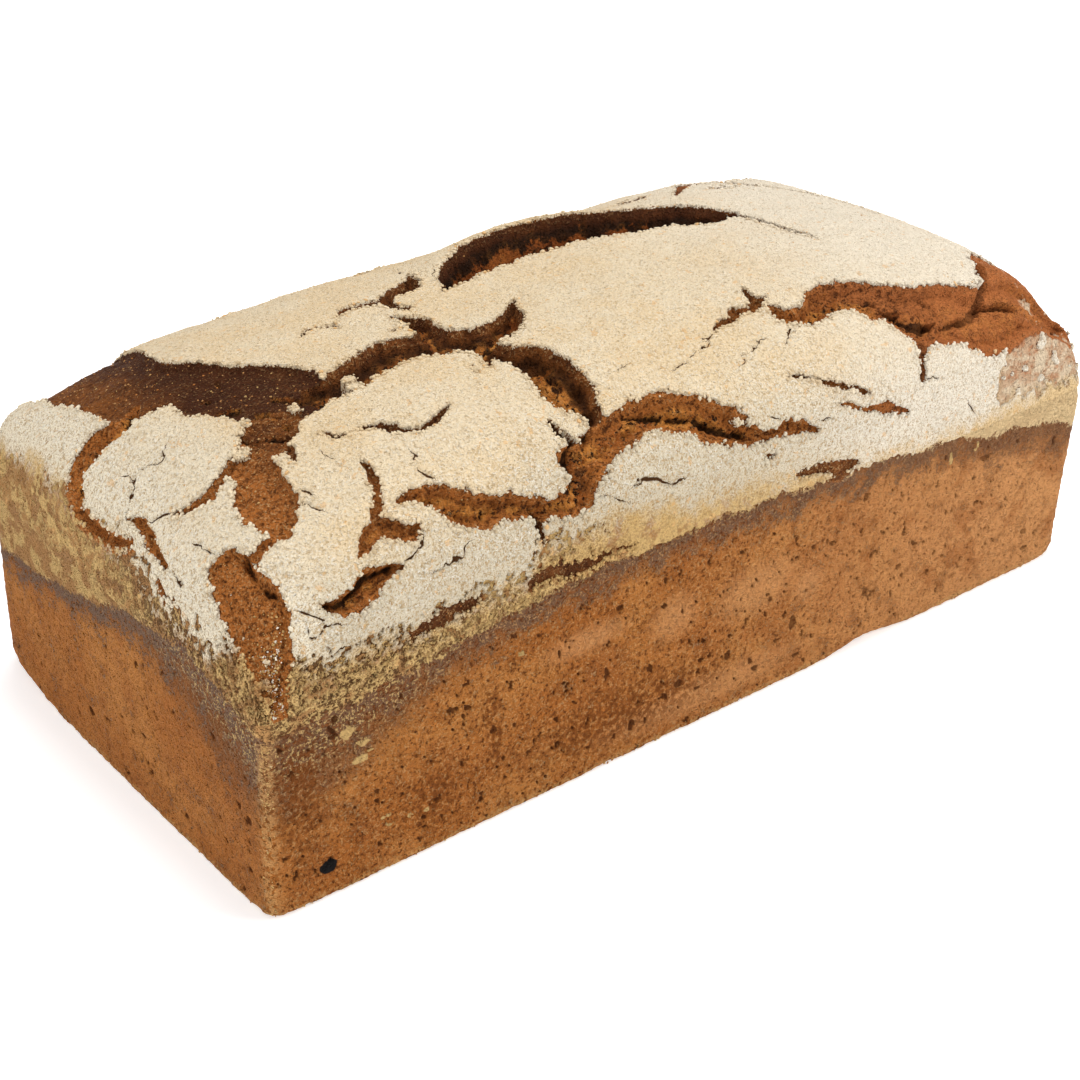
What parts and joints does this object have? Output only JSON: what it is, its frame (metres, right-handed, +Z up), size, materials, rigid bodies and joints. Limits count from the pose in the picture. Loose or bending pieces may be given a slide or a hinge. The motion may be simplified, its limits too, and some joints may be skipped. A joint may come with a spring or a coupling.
{
  "type": "rye bread loaf",
  "caption": "Uncut rye bread loaf baked in a tin: upright browned walls, a domed top of cracked floury crust, and a flat base that it rests on.",
  "frame": {"origin": "middle of the loaf's footprint, at its flat base", "axes": "+X along the loaf's length, toward its right end; +Y across its width, from the front side to the back side; +Z up"},
  "size_m": [0.24, 0.1208, 0.0869],
  "materials": {
    "rye_crust": "matte"
  },
  "bodies": {
    "root": {"loaf": "rye_crust"}
  },
  "joints": []
}
